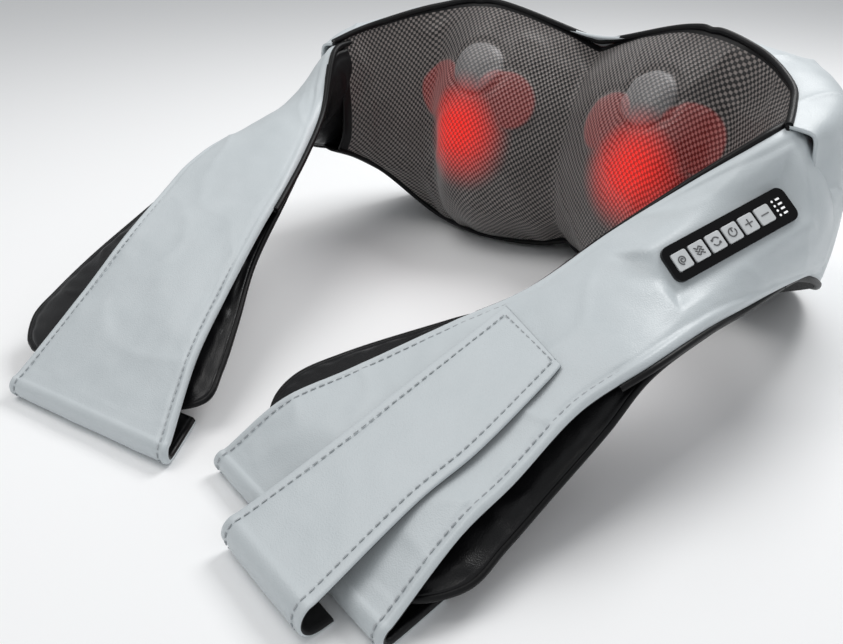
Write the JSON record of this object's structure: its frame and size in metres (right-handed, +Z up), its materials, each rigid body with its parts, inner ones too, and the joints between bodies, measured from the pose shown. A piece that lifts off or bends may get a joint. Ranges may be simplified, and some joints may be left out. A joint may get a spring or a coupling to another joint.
{
  "type": "shiatsu neck massager",
  "caption": "U-shaped padded neck massager with rotating massage heads behind mesh, a button panel, hand loops on two forward arms and a peel-up closure strap.",
  "frame": {"origin": "on the table under the centre of the neck section, on the base panel's underside", "axes": "+X towards the arm with the control panel, +Y away from the wearer to the back of the neck section, +Z up"},
  "size_m": [0.426, 0.5168, 0.2011],
  "materials": {
    "grey_leather": "satin",
    "black_leather": "gloss",
    "brown_mesh": "matt",
    "foam": "matt",
    "black_fabric": "matt",
    "black_abs": "fine texture",
    "gloss_black": "gloss",
    "button_grey": "satin",
    "node_grey": "satin",
    "node_red": "translucent",
    "lamp_red": "glowing",
    "light_white": "translucent",
    "steel": "machined",
    "copper_black": "wound",
    "brass": "machined",
    "nylon": "moulded",
    "board_green": "satin"
  },
  "bodies": {
    "neck": {"base_panel": "black_fabric", "board_chips": "black_abs", "board_standoffs": "nylon", "control_bezel": "gloss_black", "control_board": "board_green", "control_tray": "black_abs", "foam_wrap": "foam", "housing_front": "black_abs", "housing_rear": "black_abs", "housing_screws": "steel", "indicator_light_guides": "light_white", "inlet_ring": "steel", "left_heat_lamps": "lamp_red", "left_shoulder_cover": "grey_leather", "left_shoulder_lining": "black_leather", "left_wadding": "foam", "main_board": "board_green", "motor_can": "steel", "motor_end_cap": "nylon", "motor_magnets": "copper_black", "neck_back_cover": "grey_leather", "neck_mesh_cover": "brown_mesh", "output_bushes": "brass", "power_inlet": "black_abs", "right_heat_lamps": "lamp_red", "right_shoulder_cover": "grey_leather", "right_shoulder_lining": "black_leather", "right_wadding": "foam", "spindle_bushes": "brass", "spindle_supports": "black_abs", "tact_switches": "black_abs"},
    "left_head": {"left_worm_wheel": "nylon", "left_output_shaft": "steel", "left_massage_head": "black_abs", "left_large_nodes": "node_red", "left_small_nodes": "node_grey"},
    "right_head": {"right_worm_wheel": "nylon", "right_output_shaft": "steel", "right_massage_head": "black_abs", "right_large_nodes": "node_red", "right_small_nodes": "node_grey"},
    "worm_shaft": {"motor_spindle": "steel", "motor_armature": "copper_black", "left_worm": "steel", "right_worm": "steel"},
    "left_arm": {"left_arm_pad": "black_leather", "left_hand_band": "grey_leather"},
    "right_arm": {"right_arm_pad": "black_leather", "right_hand_band": "grey_leather", "strap_fold": "grey_leather", "strap_loop_patch": "black_fabric"},
    "strap": {"strap_flap": "grey_leather", "strap_hook_patch": "black_fabric"},
    "mode_button": {"mode_button": "button_grey"},
    "knead_button": {"knead_button": "button_grey"},
    "direction_button": {"direction_button": "button_grey"},
    "heat_button": {"heat_button": "button_grey"},
    "plus_button": {"plus_button": "button_grey"},
    "minus_button": {"minus_button": "button_grey"}
  },
  "joints": [
    {"name": "left_head_spin", "type": "hinge", "parent": "neck", "child": "left_head", "pos_m": [-0.078, -0.076, 0.105], "axis": [0, -0.8192, 0.5736], "continuous": true},
    {"name": "right_head_spin", "type": "hinge", "parent": "neck", "child": "right_head", "pos_m": [0.078, -0.076, 0.105], "axis": [0, -0.8192, 0.5736], "continuous": true},
    {"name": "worm_spin", "type": "hinge", "parent": "neck", "child": "worm_shaft", "pos_m": [0, -0.07273, 0.07829], "axis": [1, 0, 0], "continuous": true},
    {"name": "left_arm_lift", "type": "hinge", "parent": "neck", "child": "left_arm", "pos_m": [-0.153, -0.289, 0.104], "axis": [-0.9964, -0.0848, 0], "range_deg": [0, 35]},
    {"name": "right_arm_lift", "type": "hinge", "parent": "neck", "child": "right_arm", "pos_m": [0.134, -0.2945, 0.091], "axis": [-0.9498, 0.313, 0], "range_deg": [0, 35]},
    {"name": "strap_peel", "type": "hinge", "parent": "right_arm", "child": "strap", "pos_m": [0.08109, -0.45529, 0.0206], "axis": [0.9796, -0.2011, 0], "range_deg": [0, 110]},
    {"name": "mode_button_press", "type": "slide", "parent": "neck", "child": "mode_button", "axis": [0.5306, -0.4392, 0.7249], "range_m": [-0.0008, 0], "stiffness_N_per_m": 600},
    {"name": "knead_button_press", "type": "slide", "parent": "neck", "child": "knead_button", "axis": [0.5306, -0.4392, 0.7249], "range_m": [-0.0008, 0], "stiffness_N_per_m": 600},
    {"name": "direction_button_press", "type": "slide", "parent": "neck", "child": "direction_button", "axis": [0.5306, -0.4392, 0.7249], "range_m": [-0.0008, 0], "stiffness_N_per_m": 600},
    {"name": "heat_button_press", "type": "slide", "parent": "neck", "child": "heat_button", "axis": [0.5306, -0.4392, 0.7249], "range_m": [-0.0008, 0], "stiffness_N_per_m": 600},
    {"name": "plus_button_press", "type": "slide", "parent": "neck", "child": "plus_button", "axis": [0.5306, -0.4392, 0.7249], "range_m": [-0.0008, 0], "stiffness_N_per_m": 600},
    {"name": "minus_button_press", "type": "slide", "parent": "neck", "child": "minus_button", "axis": [0.5306, -0.4392, 0.7249], "range_m": [-0.0008, 0], "stiffness_N_per_m": 600}
  ],
  "couplings": [
    {"joint": "right_head_spin", "follows": "left_head_spin", "ratio": 1},
    {"joint": "worm_spin", "follows": "left_head_spin", "ratio": -24}
  ]
}
